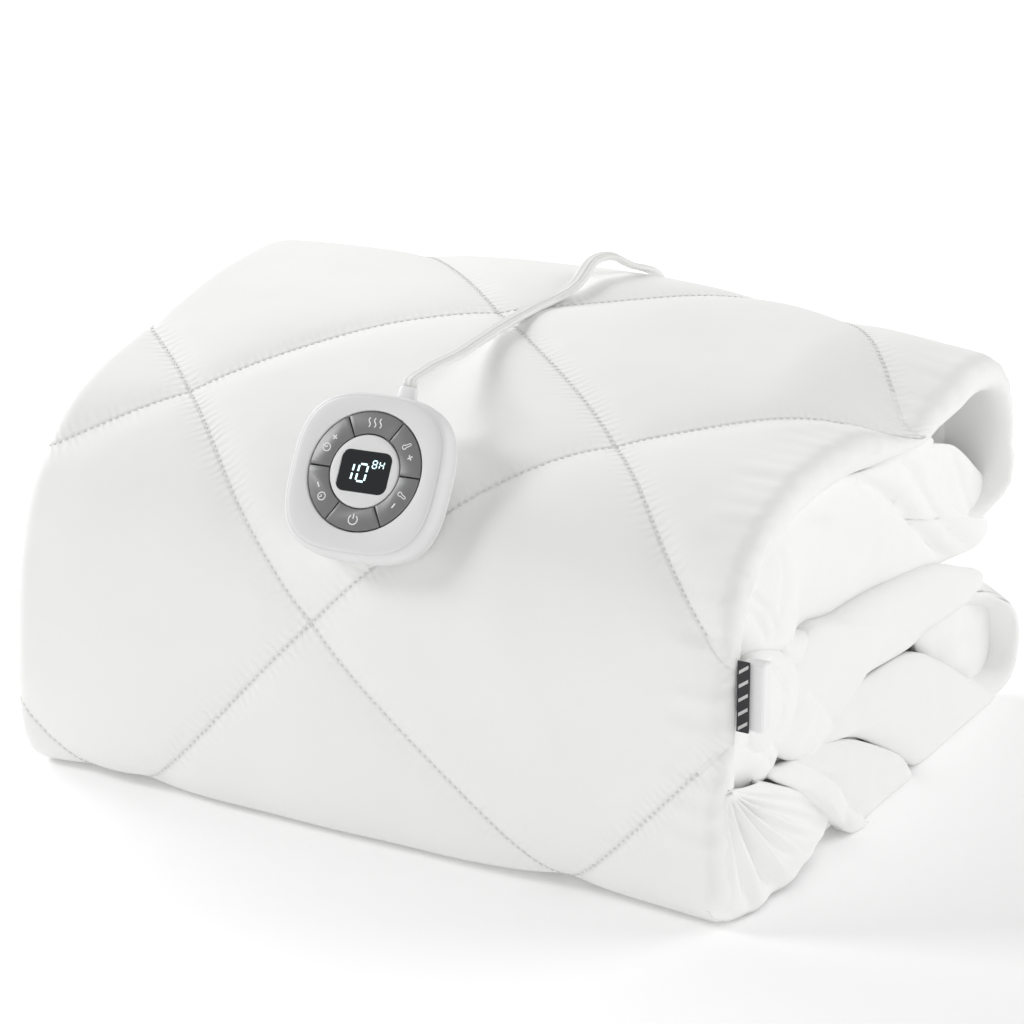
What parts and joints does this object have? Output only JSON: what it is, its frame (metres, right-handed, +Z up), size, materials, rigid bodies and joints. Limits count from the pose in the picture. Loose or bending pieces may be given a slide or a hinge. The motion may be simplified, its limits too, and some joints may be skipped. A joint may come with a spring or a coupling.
{
  "type": "heated mattress pad",
  "caption": "Quilted heated mattress pad folded into a thick bundle, with a ring-key controller on its front slope and a lead running over the top to a coil behind.",
  "frame": {"origin": "middle of the folded bundle's footprint, on the surface it rests on", "axes": "+Z up, +X along the bundle's long front to the right, +Y from the front to the back"},
  "size_m": [0.4086, 0.4305, 0.2229],
  "materials": {
    "quilt_fabric": "matte white woven polyester over fibre fill, diamond-stitched",
    "skirt_knit": "plain fine white knit",
    "white_plastic": "satin moulded plastic",
    "grey_plastic": "fine-textured moulded plastic",
    "smoked_acrylic": "polished dark display window",
    "white_vinyl": "smooth white PVC lead",
    "woven_tape": "woven label tape in light and dark bands"
  },
  "bodies": {
    "folded_pad": {"quilted_pad": "quilt_fabric", "skirt_upper": "skirt_knit", "skirt_lower": "skirt_knit", "inlet_block": "white_plastic", "inlet_lip": "white_plastic", "care_tape": "woven_tape", "remote_base": "white_plastic", "remote_shell": "white_plastic", "centre_disc": "white_plastic", "display_window": "smoked_acrylic", "cord_bush": "white_plastic", "lead_run": "white_vinyl", "lead_coil": "white_vinyl", "lead_tail": "white_vinyl", "lead_plug": "white_plastic"},
    "key_top": {"key_1": "grey_plastic"},
    "key_upper_right": {"key_2": "grey_plastic"},
    "key_lower_right": {"key_3": "grey_plastic"},
    "key_bottom": {"key_4": "grey_plastic"},
    "key_lower_left": {"key_5": "grey_plastic"},
    "key_upper_left": {"key_6": "grey_plastic"}
  },
  "joints": [
    {"name": "press_top", "type": "slide", "parent": "folded_pad", "child": "key_top", "axis": [-0.0058, 0.8251, -0.565], "range_m": [0, 0.0008], "stiffness_N_per_m": 600},
    {"name": "press_upper_right", "type": "slide", "parent": "folded_pad", "child": "key_upper_right", "axis": [-0.0058, 0.8251, -0.565], "range_m": [0, 0.0008], "stiffness_N_per_m": 600},
    {"name": "press_lower_right", "type": "slide", "parent": "folded_pad", "child": "key_lower_right", "axis": [-0.0058, 0.8251, -0.565], "range_m": [0, 0.0008], "stiffness_N_per_m": 600},
    {"name": "press_bottom", "type": "slide", "parent": "folded_pad", "child": "key_bottom", "axis": [-0.0058, 0.8251, -0.565], "range_m": [0, 0.0008], "stiffness_N_per_m": 600},
    {"name": "press_lower_left", "type": "slide", "parent": "folded_pad", "child": "key_lower_left", "axis": [-0.0058, 0.8251, -0.565], "range_m": [0, 0.0008], "stiffness_N_per_m": 600},
    {"name": "press_upper_left", "type": "slide", "parent": "folded_pad", "child": "key_upper_left", "axis": [-0.0058, 0.8251, -0.565], "range_m": [0, 0.0008], "stiffness_N_per_m": 600}
  ]
}
